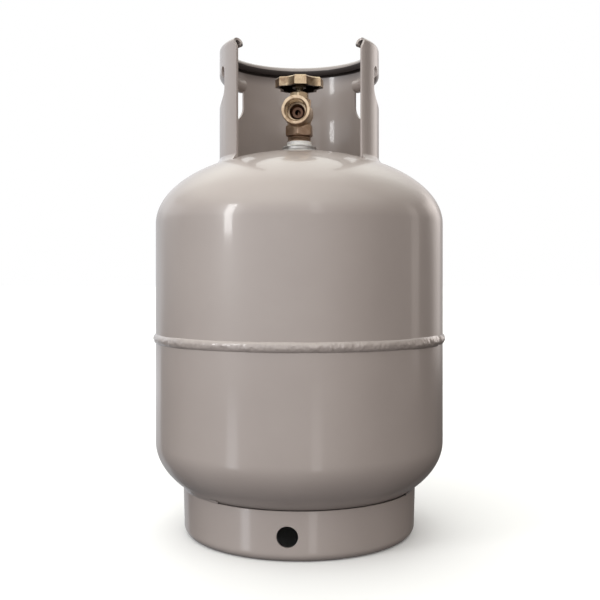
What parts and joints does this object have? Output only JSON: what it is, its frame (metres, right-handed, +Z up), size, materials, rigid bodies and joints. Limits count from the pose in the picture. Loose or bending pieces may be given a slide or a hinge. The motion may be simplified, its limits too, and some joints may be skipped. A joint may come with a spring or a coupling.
{
  "type": "propane tank",
  "caption": "Upright welded steel gas cylinder with girth seam, foot ring, open-fronted valve shroud with hand-holds, and a brass hand-wheel valve with threaded side outlet",
  "frame": {"origin": "on the cylinder's axis, at the floor that the foot ring stands on", "axes": "+Z up along the cylinder's axis; -Y is the front, where the valve shroud is open and the valve outlet faces; +X is the viewer's right from the front"},
  "size_m": [0.3062, 0.3062, 0.5045],
  "materials": {
    "painted_steel": "gloss",
    "bare_steel": "satin",
    "ptfe_tape": "satin",
    "forged_brass": "satin",
    "turned_brass": "satin",
    "cast_brass": "satin",
    "copper": "satin",
    "nylon": "satin",
    "black_rubber": "matte",
    "plated_steel": "satin",
    "spring_steel": "satin"
  },
  "bodies": {
    "cylinder": {"upper_shell": "painted_steel", "lower_shell": "painted_steel", "girth_weld": "painted_steel", "valve_boss": "bare_steel", "boss_weld": "bare_steel", "foot_ring": "painted_steel", "foot_ring_welds": "painted_steel", "shroud": "painted_steel", "shroud_welds": "painted_steel", "thread_tape": "ptfe_tape", "valve_body": "forged_brass", "bonnet": "turned_brass", "bonnet_gasket": "copper", "thrust_washer": "nylon", "relief_plug": "turned_brass", "relief_spring": "spring_steel"},
    "hand_wheel": {"handwheel": "cast_brass", "wheel_washer": "plated_steel", "wheel_screw": "plated_steel", "upper_stem": "turned_brass", "stem_o_rings": "black_rubber"},
    "spindle": {"lower_spindle": "turned_brass", "seat_disc": "nylon"},
    "relief_valve": {"relief_poppet": "turned_brass", "relief_seal": "black_rubber"}
  },
  "joints": [
    {"name": "handwheel_spin", "type": "hinge", "parent": "cylinder", "child": "hand_wheel", "pos_m": [0, 0, 0.4685], "axis": [0, 0, 1], "range_deg": [0, 900]},
    {"name": "spindle_lift", "type": "slide", "parent": "hand_wheel", "child": "spindle", "axis": [0, 0, 1], "range_m": [0, 0.00375]},
    {"name": "relief_lift", "type": "slide", "parent": "cylinder", "child": "relief_valve", "axis": [0.1219, 0.9925, 0], "range_m": [0, 0.002], "stiffness_N_per_m": 5000, "deforming": ["relief_spring"]}
  ],
  "couplings": [
    {"joint": "spindle_lift", "follows": "handwheel_spin", "m_per_rad": 0.00023873}
  ]
}
